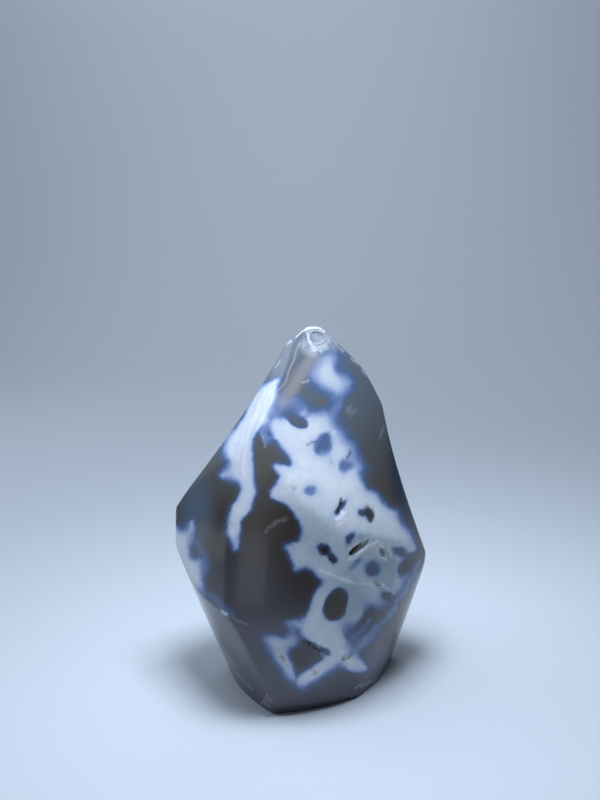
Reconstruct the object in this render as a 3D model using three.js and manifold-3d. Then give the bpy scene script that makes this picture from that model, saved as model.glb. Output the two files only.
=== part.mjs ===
// Orca agate freeform: one ground and polished stone, shaped like a flame, standing on a small sawn flat.
// Millimetres, +Z up. The front of the stone looks along -Y, and the origin is on the table under its
// middle.
//
// A lapidary makes such a stone by holding it against a belt in about twenty passes. Each pass leaves one
// broad face that is nearly flat, a little rounded, sometimes a little hollow, and sometimes twisted.
// The model follows that: each face is a gently bent sheet laid through the corners that it meets, and the
// stone is the space behind all the sheets. Where two faces meet, the polish has eased the ridge.

import * as THREE from "three";
import { mergeVertices } from "three/addons/utils/BufferGeometryUtils.js";
import Module from "manifold-3d";

// Driving dimensions

const RIDGE_EASE = 0.2; // how far the polish wears a ridge down, in mm: a radius of about 0.9 mm
const SHARP_RIDGE = 0.25; // how steeply two faces have to part for the mesh to follow their ridge

const HEART = new THREE.Vector3(-0.5, 1, 42); // a point deep inside, behind every face
const FOOT_MIDDLE = new THREE.Vector3(-1, 0, 0);
const CROWN = new THREE.Vector3(5, 4.3, 80); // inside the tip, where the middle line of the stone ends
const GIRTH = new THREE.Vector2(33, 24); // half width and half depth, to space the points round a ring
const COLUMNS = 84; // points round a ring
const RINGS = 44; // from the rim of the foot to just under the tip
const HALF_WAY = 0.47; // how far a point may slide towards its neighbour, as a share of the way
const CLIMB_POWER = 3.5; // how late the rings begin to look up
const PIT_DETAIL = 2; // of the ellipsoids that cut the pits

const STONE_COLOUR = 0x6b6a70; // blue-grey chalcedony, between the dark ground and the white patches
const STONE_ROUGHNESS = 0.18;

// Corners of the stone, [x, y, z] in mm, named by where they lie. Front is -Y, right is +X.

const CORNERS = {
  tip: [5, 6, 90],
  tipRight: [7.5, 5, 88.5],
  tipFrontLeft: [2, 1.5, 86],
  tipFrontRight: [6, 1, 83.5],
  sliverFoot: [-4, -6, 73.5],

  // rounded end of the tip, and two small facets that lean away from it
  capTop: [5.5, 6, 90.2],
  capLeft: [3.5, 5, 89.7],
  capRight: [7.4, 5, 89.5],
  capFront: [5.2, 2.5, 89.5],
  capBack: [5.4, 9, 89.5],
  noseLeft: [-0.6, 3.5, 86.8],
  noseLeftBack: [1.5, 9, 88.1],
  noseRightBack: [11.8, 10, 84.6],

  // soft spine between the bright upper right face and the dark front, from the sliver down to the right
  spineTop: [-7.5, -9, 66.5],
  spineUpper: [-6, -11.5, 58.5],
  spineMiddle: [1.5, -15, 50.5],
  spineLower: [6.5, -16, 46.5],
  spineElbow: [12.5, -14.5, 43],
  spineRight: [21.5, -6, 36.5],
  rightCorner: [33, 7, 27.5],

  // right-hand rim, seen against the sky
  rimTop: [11, 4.5, 85.9],
  rimUpper: [16.6, 5.5, 79.6],
  rimShoulder: [20.5, 6.5, 74.5],
  rimMiddle: [23.5, 7, 67],
  rimHollow: [24.5, 6, 54],
  rimLower: [28.5, 5.5, 38.5],

  // ledge under the small right-hand face
  ledgeLeft: [2.5, -19.5, 36.5],
  ledgeMiddle: [11.5, -17, 31],
  ledgeRight: [22.5, -6, 22],

  // girdle, where the dark front meets the undercut lower faces
  girdleRight: [7, -18.5, 22],
  girdleMiddle: [-3.5, -21.5, 21.5],
  girdleFront: [-8, -21.5, 22.5],
  girdleFrontLeft: [-16, -20.5, 25.5],
  girdleLeft: [-23, -16, 29],
  girdleEnd: [-30, -4, 30.5],
  flankMiddle: [19.5, -8.5, 17.5],
  flankFoot: [12.5, -15, 13.5],

  // left-hand rim
  leftCornerLow: [-32, 3.5, 31],
  leftCorner: [-35, 9, 42],
  leftRimLower: [-26, 5, 53.5],
  leftRimMiddle: [-19.5, 3, 61.5],
  leftRimWaist: [-15.2, 3.5, 66.3],
  leftRimHollow: [-12.8, 4, 69.2],
  leftRimUpper: [-9.5, 4.5, 75.5],
  leftRimTop: [-2.4, 3.5, 85.5],

  // streaky ridge between the left cheek and the dark front
  cheekTop: [-8.5, -3, 74],
  cheekUpper: [-12.5, -7, 65],
  cheekMiddle: [-14, -12, 55],
  cheekLower: [-15.5, -15.5, 45],
  cheekFoot: [-17.5, -18, 35],

  lowerLeftEdge: [-26, -3, 19],
  lowerRightEdge: [29, 4, 19.5],

  // upper edge of the bevel that goes round the foot
  bevelLeftEnd: [-24.5, 2, 11],
  bevelLeft: [-19.5, -9, 8],
  bevelFrontLeft: [-15, -16, 7],
  bevelFront: [-9.5, -20, 5],
  bevelFrontMiddle: [-3.5, -20, 2.5],
  bevelFrontRight: [4.5, -18.5, 3],
  bevelRightFront: [11, -15.5, 3.5],
  bevelRight: [17.5, -8, 3],
  bevelRightMiddle: [21, 0, 4],
  bevelRightEnd: [25.5, 5, 8.5],

  // rim of the flat foot
  footLeftBack: [-22, 4.5, 0],
  footLeft: [-17.5, -7, 0],
  footFrontLeft: [-12, -15.5, 0],
  footFront: [-6.5, -18.5, 0],
  footFrontMiddle: [-3, -18.5, 0],
  footFrontRight: [2, -18, 0],
  footRightFront: [8, -15.5, 0],
  footRight: [13.5, -11, 0],
  footRightCorner: [19, -5, 0],
  footRightMiddle: [20.5, 0.5, 0],
  footRightBack: [22.5, 7.5, 1],
  footBackLeft: [-17, 12, 0],
  footBack: [2, 17, 0],
  footBackRight: [18, 11, 0],

  // back of the stone
  backLeft: [-20, 21, 36],
  backMiddle: [4, 26, 30],
  backRight: [22, 18, 34],
  backUpper: [7, 19, 64],
};

// Faces: the corners that each one is laid through (a corner named twice pulls twice as hard), its bend
// radius across and along in mm (0 is flat, a minus sign is hollow), and its twist in radians per mm.

const FACES = [
  { name: "bright upper right", across: 58, along: -220, twist: -0.0095,
    through: "tipFrontRight sliverFoot spineTop spineUpper spineMiddle spineLower spineElbow spineElbow"
      + " rightCorner rightCorner spineRight rimTop rimUpper rimShoulder rimMiddle rimHollow rimLower" },
  { name: "dark front", across: 38, along: 160, twist: -0.0024,
    through: "sliverFoot spineTop spineUpper spineMiddle spineLower spineElbow ledgeLeft girdleMiddle"
      + " girdleMiddle girdleFront girdleFront girdleFrontLeft girdleLeft cheekUpper cheekMiddle"
      + " cheekLower cheekFoot" },
  { name: "left cheek", across: 300, along: 150, twist: -0.001,
    through: "cheekUpper cheekMiddle cheekLower cheekFoot leftRimMiddle leftRimLower leftCorner leftCorner"
      + " leftCorner leftCornerLow girdleEnd" },
  { name: "upper left", across: 0, along: -250, twist: 0.0045,
    through: "leftRimTop leftRimTop leftRimUpper leftRimHollow leftRimWaist leftRimMiddle leftRimLower"
      + " leftCorner leftCorner tipFrontLeft sliverFoot cheekTop" },
  { name: "sliver under the tip", across: 0, along: 0, twist: 0,
    through: "tipFrontLeft tipFrontRight sliverFoot" },
  { name: "small right", across: 72, along: 0, twist: -0.006,
    through: "spineElbow spineElbow rightCorner spineRight ledgeLeft ledgeMiddle ledgeMiddle ledgeRight" },
  { name: "under the ledge", across: 62, along: 0, twist: -0.01,
    through: "ledgeLeft ledgeMiddle ledgeMiddle ledgeRight flankMiddle flankFoot girdleRight" },
  { name: "lower front", across: 35, along: 0, twist: -0.004,
    through: "girdleMiddle girdleRight flankFoot girdleFront girdleFrontLeft girdleFrontLeft bevelFront"
      + " bevelFrontMiddle bevelFrontRight bevelRightFront" },
  { name: "lower left", across: 48, along: 0, twist: 0.004,
    through: "girdleFrontLeft girdleLeft girdleEnd leftCornerLow lowerLeftEdge bevelLeftEnd bevelLeft"
      + " bevelFrontLeft" },
  { name: "right flank", across: 70, along: 0, twist: -0.006,
    through: "rightCorner flankMiddle flankFoot bevelRight bevelRightMiddle bevelRightEnd lowerRightEdge" },
  { name: "tip", across: 20, along: 20, twist: 0,
    through: "capTop capLeft capRight capFront capBack" },
  { name: "left of the tip", across: 0, along: 0, twist: 0,
    through: "capLeft noseLeft noseLeftBack" },
  { name: "right of the tip", across: 30, along: 0, twist: 0,
    through: "capRight rimTop rimUpper noseRightBack" },
  { name: "back left", across: 200, along: -145, twist: 0.002,
    through: "leftRimTop leftRimUpper leftRimHollow leftRimWaist leftRimWaist leftRimMiddle leftRimLower"
      + " leftCorner leftCorner leftCorner backLeft tip" },
  { name: "back", across: 38, along: 110, twist: 0.003,
    through: "backLeft backMiddle backRight backUpper tip" },
  { name: "back shoulder", across: 200, along: 150, twist: 0.004,
    through: "rimTop rimUpper rimShoulder rimMiddle backUpper tip tipRight" },
  { name: "back right", across: 300, along: -90, twist: 0.008,
    through: "rimMiddle rimHollow rimLower rightCorner rightCorner backRight backUpper" },
  { name: "lower back left", across: 60, along: 0, twist: 0,
    through: "leftCornerLow leftCornerLow backLeft footBackLeft footLeftBack" },
  { name: "lower back", across: 32, along: 150, twist: 0,
    through: "backLeft backMiddle backRight footBackLeft footBack footBackRight" },
  { name: "lower back right", across: 100, along: 0, twist: 0,
    through: "rightCorner rightCorner lowerRightEdge bevelRightEnd footRightBack backRight footBackRight" },
  { name: "left bevel", across: 60, along: 0, twist: 0,
    through: "bevelLeftEnd bevelLeft bevelFrontLeft bevelFront footLeftBack footLeft footFrontLeft" },
  { name: "front bevel", across: 50, along: 0, twist: 0,
    through: "bevelFront bevelFrontMiddle bevelFrontRight bevelRightFront footFront footFrontMiddle"
      + " footFrontRight footRightFront footRight" },
  { name: "right bevel", across: 0, along: 0, twist: 0,
    through: "bevelRight bevelRightMiddle bevelRightEnd footRightCorner footRightMiddle footRightBack" },
];

// Pits that the polish did not reach. Each is half an ellipsoid sunk in the skin: where its middle lies,
// half its length and half its width, its depth, all in mm, and how far its length is turned from level,
// in degrees.

const PITS = [
  { name: "quartz vug", at: [13, -14, 38.5], long: 3.4, wide: 1, deep: 1.3, turn: 17 },
  { name: "small vug", at: [19, -9.5, 35.5], long: 1.9, wide: 0.9, deep: 0.8, turn: -55 },
  { name: "slot", at: [9.5, -12, 48.5], long: 1.9, wide: 0.6, deep: 1, turn: 70 },
  { name: "upper ledge pit", at: [17.5, -11.5, 28.5], long: 1.8, wide: 0.8, deep: 0.6, turn: -40 },
  { name: "lower ledge pit", at: [20.5, -8.5, 25], long: 1.4, wide: 0.8, deep: 0.5, turn: -40 },
  { name: "crack", at: [1.5, -20.5, 17.5], long: 3.2, wide: 0.4, deep: 0.8, turn: -43 },
  { name: "pitted patch", at: [9, -17, 13], long: 1.7, wide: 1.2, deep: 0.5, turn: 20 },
  { name: "bruise on the tip", at: [6, 3, 87], long: 1.8, wide: 1.6, deep: 0.35, turn: 0 },
];

// A face as a bent sheet

const UP = new THREE.Vector3(0, 0, 1);

// Normal of the plane that fits the points best: the direction in which they spread least, found by
// repeatedly multiplying by the inverse of their spread.
function bestNormal(points, middle) {
  const spread = new THREE.Matrix3().set(0, 0, 0, 0, 0, 0, 0, 0, 0);
  for (const point of points) {
    const d = point.clone().sub(middle).toArray();
    for (let row = 0; row < 3; row += 1) {
      for (let column = 0; column < 3; column += 1) {
        spread.elements[column * 3 + row] += d[row] * d[column];
      }
    }
  }
  const smallest = 1e-6; // keeps the spread of an exactly flat set of corners invertible
  for (const diagonal of [0, 4, 8]) {
    spread.elements[diagonal] += smallest;
  }
  const inverse = spread.clone().invert();
  const normal = new THREE.Vector3(0.3, -0.5, 0.2).normalize();
  for (let turn = 0; turn < 60; turn += 1) {
    normal.applyMatrix3(inverse).normalize();
  }
  return normal;
}

// Least squares for three unknowns: leans and lifts the sheet so that the gaps at its corners are smallest.
function bestLean(places, gaps) {
  const sums = new THREE.Matrix3().set(0, 0, 0, 0, 0, 0, 0, 0, 0);
  const right = [0, 0, 0];
  places.forEach(([across, along], index) => {
    const row = [across, along, 1];
    for (let i = 0; i < 3; i += 1) {
      right[i] += row[i] * gaps[index];
      for (let j = 0; j < 3; j += 1) {
        sums.elements[j * 3 + i] += row[i] * row[j];
      }
    }
  });
  return new THREE.Vector3(...right).applyMatrix3(sums.invert());
}

function bend(radius) {
  return radius === 0 ? 0 : 1 / radius;
}

class Face {
  constructor({ name, through, across, along, twist }) {
    this.name = name;
    const points = through.split(" ").map((corner) => new THREE.Vector3(...CORNERS[corner]));
    this.middle = new THREE.Vector3();
    points.forEach((point) => this.middle.addScaledVector(point, 1 / points.length));
    this.normal = bestNormal(points, this.middle);
    if (this.normal.dot(HEART.clone().sub(this.middle)) > 0) {
      this.normal.negate();
    }
    this.acrossAxis = UP.clone().cross(this.normal).normalize();
    this.alongAxis = this.normal.clone().cross(this.acrossAxis);
    this.acrossBend = bend(across);
    this.alongBend = bend(along);
    this.twist = twist;
    this.lean = new THREE.Vector3();
    const places = points.map((point) => this.place(point));
    const gaps = points.map((point) => this.height(point));
    this.lean = bestLean(places, gaps);
  }

  // Where a point lies over the sheet, across and along it.
  place(point) {
    const d = point.clone().sub(this.middle);
    return [d.dot(this.acrossAxis), d.dot(this.alongAxis)];
  }

  // Height of a point over the sheet: below zero is inside the stone.
  height(point) {
    const [across, along] = this.place(point);
    const flat = point.clone().sub(this.middle).dot(this.normal);
    const bent = 0.5 * this.acrossBend * across ** 2 + 0.5 * this.alongBend * along ** 2;
    const leaning = this.lean.x * across + this.lean.y * along + this.lean.z;
    return flat + bent + this.twist * across * along - leaning;
  }
}

const faces = FACES.map((face) => new Face(face));

// The stone as the space behind all the faces

// Rounded maximum of the heights: the ridges are eased, and everything else is left as it is.
function heightOverStone(point) {
  const heights = faces.map((face) => face.height(point));
  const highest = Math.max(...heights);
  const sum = heights.reduce((total, height) => total + Math.exp((height - highest) / RIDGE_EASE), 0);
  return highest + RIDGE_EASE * Math.log(sum);
}

// A ray from a point on the middle line of the stone, through which one point of its skin is found.
class Ray {
  constructor(origin, direction) {
    this.origin = origin;
    this.direction = direction;
  }

  at(distance) {
    return this.origin.clone().addScaledVector(this.direction, distance);
  }

  // Where the ray leaves the stone, found by halving the stretch that holds the skin.
  leave() {
    let inside = 0;
    let outside = 80;
    const tiny = 1e-3;
    while (outside - inside > tiny) {
      const halfway = (inside + outside) / 2;
      if (heightOverStone(this.at(halfway)) < 0) {
        inside = halfway;
      } else {
        outside = halfway;
      }
    }
    return this.at(inside);
  }
}

// Rays for one ring of skin points: the lowest ring looks out level with the foot, and the rings above it
// look higher and higher, until the last point looks straight up through the tip.
function ringRays(share) {
  const origin = FOOT_MIDDLE.clone().lerp(CROWN, share);
  const climb = THREE.MathUtils.degToRad(90 * share ** CLIMB_POWER);
  const rays = [];
  for (let column = 0; column < COLUMNS; column += 1) {
    const angle = (2 * Math.PI * column) / COLUMNS;
    const level = new THREE.Vector3(GIRTH.x * Math.cos(angle), GIRTH.y * Math.sin(angle), 0).normalize();
    const direction = level.multiplyScalar(Math.cos(climb)).addScaledVector(UP, Math.sin(climb));
    rays.push(new Ray(origin, direction));
  }
  return rays;
}

function slopeOf(height, point) {
  const step = 0.01;
  const here = height(point);
  const slope = new THREE.Vector3();
  for (const axis of ["x", "y", "z"]) {
    const beside = point.clone();
    beside[axis] += step;
    slope[axis] = (height(beside) - here) / step;
  }
  return slope;
}

// Slides a skin point sideways onto a ridge that runs within reach, so that the mesh has its edges on the
// ridges instead of zigzags across them. The lowest ring stays in the plane of the foot.
function slideToRidge(start, origin, reach, inFoot) {
  const [first, second] = faces
    .map((face) => ({ face, height: face.height(start) }))
    .sort((a, b) => b.height - a.height)
    .map((entry) => entry.face);
  const gap = (point) => first.height(point) - second.height(point);
  if (slopeOf(gap, start).length() < SHARP_RIDGE) {
    return start;
  }
  let point = start;
  for (let turn = 0; turn < 4; turn += 1) {
    const slope = slopeOf(gap, point);
    const outward = point.clone().sub(origin).normalize();
    slope.addScaledVector(outward, -slope.dot(outward));
    if (inFoot) {
      slope.z = 0;
    }
    const aim = point.clone().addScaledVector(slope, -gap(point) / slope.lengthSq());
    point = new Ray(origin, aim.sub(origin).normalize()).leave();
    if (!reach(point.clone().sub(start))) {
      return start;
    }
  }
  return point;
}

// Closed skin: rings of points from the rim of the foot up to the tip

const TIP = RINGS * COLUMNS;
const MIDDLE_OF_FOOT = TIP + 1;

function loosePoints() {
  const points = [];
  for (let ring = 0; ring < RINGS; ring += 1) {
    points.push(...ringRays(ring / RINGS).map((ray) => ray.leave()));
  }
  points.push(new Ray(CROWN, UP).leave(), FOOT_MIDDLE);
  return points;
}

// The four-sided patches between the rings, each as its corners' places in the list of points.
function patches() {
  const corners = [];
  for (let ring = 0; ring < RINGS - 1; ring += 1) {
    for (let column = 0; column < COLUMNS; column += 1) {
      const here = ring * COLUMNS + column;
      const beside = ring * COLUMNS + ((column + 1) % COLUMNS);
      corners.push([here, beside, beside + COLUMNS, here + COLUMNS]);
    }
  }
  return corners;
}

function slidPoints(loose) {
  return loose.map((start, index) => {
    if (index >= TIP) {
      return start;
    }
    const ring = Math.floor(index / COLUMNS);
    const column = index % COLUMNS;
    const toBeside = loose[ring * COLUMNS + ((column + 1) % COLUMNS)].clone().sub(start);
    const toNextRing = loose[ring + 1 < RINGS ? index + COLUMNS : index - COLUMNS].clone().sub(start);
    const reach = (move) => {
      const sideways = Math.abs(move.dot(toBeside)) / toBeside.lengthSq();
      const upwards = Math.abs(move.dot(toNextRing)) / toNextRing.lengthSq();
      return sideways < HALF_WAY && upwards < HALF_WAY;
    };
    const origin = FOOT_MIDDLE.clone().lerp(CROWN, ring / RINGS);
    return slideToRidge(start, origin, reach, ring === 0);
  });
}

// Whether a triangle has nearly lost its width or faces into the stone.
function isFolded(a, b, c) {
  const triangle = new THREE.Triangle(a, b, c);
  const normal = triangle.getNormal(new THREE.Vector3());
  const outward = slopeOf(heightOverStone, triangle.getMidpoint(new THREE.Vector3())).normalize();
  return normal.dot(outward) < 0.5 || triangle.getArea() < 0.02;
}

// Slides the points to the ridges, and takes back each slide that would fold a patch over.
function skinPoints() {
  const loose = loosePoints();
  const points = slidPoints(loose);
  for (let pass = 0; pass < 3; pass += 1) {
    for (const [a, b, c, d] of patches()) {
      for (const three of [[a, b, c], [a, c, d], [a, b, d], [b, c, d]]) {
        if (isFolded(...three.map((corner) => points[corner]))) {
          three.forEach((corner) => {
            points[corner] = loose[corner];
          });
        }
      }
    }
  }
  return points;
}

// Splits a four-sided patch along the diagonal whose middle lies nearer to the skin.
function splitPatch(points, [a, b, c, d]) {
  const error = (i, j) => Math.abs(heightOverStone(points[i].clone().lerp(points[j], 0.5)));
  return error(a, c) < error(b, d) ? [a, b, c, a, c, d] : [a, b, d, b, c, d];
}

function stoneGeometry() {
  const points = skinPoints();
  const triangles = patches().flatMap((corners) => splitPatch(points, corners));
  const lastRing = TIP - COLUMNS;
  for (let column = 0; column < COLUMNS; column += 1) {
    const beside = (column + 1) % COLUMNS;
    triangles.push(MIDDLE_OF_FOOT, beside, column);
    triangles.push(lastRing + column, lastRing + beside, TIP);
  }
  const geometry = new THREE.BufferGeometry().setFromPoints(points);
  geometry.setIndex(triangles);
  return geometry;
}

// Pits, cut out of the stone

const wasm = await Module();
wasm.setup();

function solidOf(geometry) {
  const vertProperties = new Float32Array(geometry.getAttribute("position").array);
  const triVerts = new Uint32Array(geometry.index.array);
  return new wasm.Manifold(new wasm.Mesh({ numProp: 3, vertProperties, triVerts }));
}

function geometryOf(solid) {
  const mesh = solid.getMesh();
  const geometry = new THREE.BufferGeometry();
  geometry.setAttribute("position", new THREE.BufferAttribute(mesh.vertProperties, 3));
  geometry.setIndex(new THREE.BufferAttribute(mesh.triVerts, 1));
  return geometry;
}

// An ellipsoid with its middle on the skin, its short axis along the skin's normal.
function pitSolid({ at, long, wide, deep, turn }) {
  const point = new THREE.Vector3(...at);
  for (let step = 0; step < 5; step += 1) {
    const slope = slopeOf(heightOverStone, point);
    point.addScaledVector(slope, -heightOverStone(point) / slope.lengthSq());
  }
  const normal = slopeOf(heightOverStone, point).normalize();
  const across = UP.clone().cross(normal).normalize();
  const length = across.clone().applyAxisAngle(normal, THREE.MathUtils.degToRad(turn));
  const width = normal.clone().cross(length);
  const placing = new THREE.Matrix4()
    .makeBasis(length.multiplyScalar(long), width.multiplyScalar(wide), normal.multiplyScalar(deep))
    .setPosition(point);
  const ball = new THREE.IcosahedronGeometry(1, PIT_DETAIL);
  ball.deleteAttribute("normal");
  ball.deleteAttribute("uv");
  return solidOf(mergeVertices(ball).applyMatrix4(placing));
}

let pitted = solidOf(stoneGeometry());
for (const pit of PITS) {
  pitted = pitted.subtract(pitSolid(pit));
}

// The stone, moved so that the origin is on the table under the middle of it

const geometry = geometryOf(pitted);
geometry.computeBoundingBox();
const middle = geometry.boundingBox.getCenter(new THREE.Vector3());
geometry.translate(-middle.x, -middle.y, 0);

const agate = new THREE.MeshStandardMaterial({
  color: STONE_COLOUR,
  roughness: STONE_ROUGHNESS,
  metalness: 0,
});

const stone = new THREE.Mesh(geometry, agate);
stone.name = "stone";

const freeform = new THREE.Group();
freeform.add(stone);

export default freeform;
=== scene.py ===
# %% [markdown]
# An orca agate freeform. Orca agate is chalcedony, a quartz too fine-grained to see, in two kinds that grew
# into each other: a clear, smoke-grey kind that looks almost black in a thick piece, and a milky white kind.
# Where the white thins out over the dark, it scatters blue light, so each white patch has a blue rim.
#
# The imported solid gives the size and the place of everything. Blender adds what the eye reads as polished
# agate: a skin fine enough for clean reflections, the pits, the pattern, and the finish.

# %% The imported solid
import math

import bpy
import numpy as np
from mathutils import Matrix, Vector, noise


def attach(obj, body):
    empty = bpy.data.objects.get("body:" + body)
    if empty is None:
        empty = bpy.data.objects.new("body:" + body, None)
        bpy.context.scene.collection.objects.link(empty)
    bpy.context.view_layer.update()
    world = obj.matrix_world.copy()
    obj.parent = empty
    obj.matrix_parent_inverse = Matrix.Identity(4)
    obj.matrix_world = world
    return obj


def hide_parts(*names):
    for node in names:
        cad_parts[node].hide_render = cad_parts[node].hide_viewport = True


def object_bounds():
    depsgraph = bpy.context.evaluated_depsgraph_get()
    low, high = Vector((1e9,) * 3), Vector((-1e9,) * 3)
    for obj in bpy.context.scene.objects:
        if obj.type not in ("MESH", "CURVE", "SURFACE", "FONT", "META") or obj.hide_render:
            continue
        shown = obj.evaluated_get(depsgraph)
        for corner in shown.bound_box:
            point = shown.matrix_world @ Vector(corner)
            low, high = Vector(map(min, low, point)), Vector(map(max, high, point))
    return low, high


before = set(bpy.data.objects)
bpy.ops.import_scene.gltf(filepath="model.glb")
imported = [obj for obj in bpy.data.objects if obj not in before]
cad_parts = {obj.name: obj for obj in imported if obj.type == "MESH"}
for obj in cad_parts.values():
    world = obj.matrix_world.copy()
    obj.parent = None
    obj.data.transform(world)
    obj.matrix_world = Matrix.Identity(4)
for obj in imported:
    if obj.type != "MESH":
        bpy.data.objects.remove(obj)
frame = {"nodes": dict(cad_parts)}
MM = 0.001
solid_low, solid_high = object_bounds()
size = (solid_high - solid_low) / MM
print(f"{', '.join(frame['nodes'])}: {size.x:.1f} x {size.y:.1f} x {size.z:.1f} mm")

# %% [markdown]
# The camera comes first, because the pattern is laid out as it is seen from there. It looks ten degrees down
# on the stone from some twenty centimetres away, and it is rolled by three degrees, as hand-held pictures
# are. A lens of 36 mm on a sensor of 36 mm gives one pixel for each 1/800 of the distance.

# %% Camera
PICTURE = (600, 800)  # pixels
FOCAL = 800.0  # pixels
CAMERA_AT = np.array([1.550, -195.974, 106.392])  # mm
LOOK_DOWN = math.radians(10)
ROLL = math.radians(-3)

level_up = np.array([0, math.sin(LOOK_DOWN), math.cos(LOOK_DOWN)])
forward = np.array([0, math.cos(LOOK_DOWN), -math.sin(LOOK_DOWN)])
level_right = np.array([1.0, 0, 0])
picture_right = math.cos(ROLL) * level_right + math.sin(ROLL) * level_up
picture_up = -math.sin(ROLL) * level_right + math.cos(ROLL) * level_up

camera_data = bpy.data.cameras.new("camera")
camera_data.sensor_width = 36
camera_data.lens = camera_data.sensor_width * FOCAL / max(PICTURE)
camera = bpy.data.objects.new("camera", camera_data)
axes = Matrix([picture_right, picture_up, -forward]).transposed().to_4x4()
camera.matrix_world = Matrix.Translation(Vector(CAMERA_AT) * MM) @ axes
bpy.context.scene.collection.objects.link(camera)
bpy.context.scene.camera = camera


def pixels_of(points):
    """Where points in mm are seen in the picture, in pixels from its top left corner."""
    seen = points - CAMERA_AT
    depth = seen @ forward
    x = PICTURE[0] / 2 + FOCAL * (seen @ picture_right) / depth
    y = PICTURE[1] / 2 - FOCAL * (seen @ picture_up) / depth
    return np.stack([x, y], 1)


print("lens", round(camera_data.lens, 2), "mm")

# %% [markdown]
# The form. A lapidary holds the rough against a belt in about twenty passes, and each leaves one broad face:
# nearly flat, a little rounded or hollow, sometimes twisted. A mesh of a few thousand triangles shows as
# facets in a polish, and smoothing it would wash the ridges out. So the skin is worked out afresh, as fine as
# is needed, from the same corners and bends as the solid: each face is a bent sheet through its corners.

# %% Corners of the stone in mm, before it is centred
CENTRE = np.array([-0.406, 2.198, 0])  # where the origin of the solid lies among the corners
CORNERS = {
    "tip": (5, 6, 90), "tip_right": (7.5, 5, 88.5), "tip_front_left": (2, 1.5, 86),
    "tip_front_right": (6, 1, 83.5), "sliver_foot": (-4, -6, 73.5),
    # rounded end of the tip, and two small facets that lean away from it
    "cap_top": (5.5, 6, 90.2), "cap_left": (3.5, 5, 89.7), "cap_right": (7.4, 5, 89.5),
    "cap_front": (5.2, 2.5, 89.5), "cap_back": (5.4, 9, 89.5), "nose_left": (-0.6, 3.5, 86.8),
    "nose_left_back": (1.5, 9, 88.1), "nose_right_back": (11.8, 10, 84.6),
    # soft spine between the bright upper right face and the dark front, from the sliver down to the right
    "spine_top": (-7.5, -9, 66.5), "spine_upper": (-6, -11.5, 58.5), "spine_middle": (1.5, -15, 50.5),
    "spine_lower": (6.5, -16, 46.5), "spine_elbow": (12.5, -14.5, 43), "spine_right": (21.5, -6, 36.5),
    "right_corner": (33, 7, 27.5),
    # right-hand rim, seen against the sky
    "rim_top": (11, 4.5, 85.9), "rim_upper": (16.6, 5.5, 79.6), "rim_shoulder": (20.5, 6.5, 74.5),
    "rim_middle": (23.5, 7, 67), "rim_hollow": (24.5, 6, 54), "rim_lower": (28.5, 5.5, 38.5),
    # ledge under the small right-hand face
    "ledge_left": (2.5, -19.5, 36.5), "ledge_middle": (11.5, -17, 31), "ledge_right": (22.5, -6, 22),
    # girdle, where the dark front meets the undercut lower faces
    "girdle_right": (7, -18.5, 22), "girdle_middle": (-3.5, -21.5, 21.5),
    "girdle_front": (-8, -21.5, 22.5), "girdle_front_left": (-16, -20.5, 25.5),
    "girdle_left": (-23, -16, 29), "girdle_end": (-30, -4, 30.5), "flank_middle": (19.5, -8.5, 17.5),
    "flank_foot": (12.5, -15, 13.5),
    # left-hand rim
    "left_corner_low": (-32, 3.5, 31), "left_corner": (-35, 9, 42), "left_rim_lower": (-26, 5, 53.5),
    "left_rim_middle": (-19.5, 3, 61.5), "left_rim_waist": (-15.2, 3.5, 66.3),
    "left_rim_hollow": (-12.8, 4, 69.2), "left_rim_upper": (-9.5, 4.5, 75.5),
    "left_rim_top": (-2.4, 3.5, 85.5),
    # streaky ridge between the left cheek and the dark front
    "cheek_top": (-8.5, -3, 74), "cheek_upper": (-12.5, -7, 65), "cheek_middle": (-14, -12, 55),
    "cheek_lower": (-15.5, -15.5, 45), "cheek_foot": (-17.5, -18, 35), "lower_left_edge": (-26, -3, 19),
    "lower_right_edge": (29, 4, 19.5),
    # upper edge of the bevel that goes round the foot
    "bevel_left_end": (-24.5, 2, 11), "bevel_left": (-19.5, -9, 8), "bevel_front_left": (-15, -16, 7),
    "bevel_front": (-9.5, -20, 5), "bevel_front_middle": (-3.5, -20, 2.5),
    "bevel_front_right": (4.5, -18.5, 3), "bevel_right_front": (11, -15.5, 3.5),
    "bevel_right": (17.5, -8, 3), "bevel_right_middle": (21, 0, 4), "bevel_right_end": (25.5, 5, 8.5),
    # rim of the flat foot
    "foot_left_back": (-22, 4.5, 0), "foot_left": (-17.5, -7, 0), "foot_front_left": (-12, -15.5, 0),
    "foot_front": (-6.5, -18.5, 0), "foot_front_middle": (-3, -18.5, 0),
    "foot_front_right": (2, -18, 0), "foot_right_front": (8, -15.5, 0), "foot_right": (13.5, -11, 0),
    "foot_right_corner": (19, -5, 0), "foot_right_middle": (20.5, 0.5, 0),
    "foot_right_back": (22.5, 7.5, 1), "foot_back_left": (-17, 12, 0), "foot_back": (2, 17, 0),
    "foot_back_right": (18, 11, 0),
    # back of the stone
    "back_left": (-20, 21, 36), "back_middle": (4, 26, 30), "back_right": (22, 18, 34),
    "back_upper": (7, 19, 64),
}
CORNERS = {name: np.array(corner) - CENTRE for name, corner in CORNERS.items()}
print(len(CORNERS), "corners")

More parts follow.
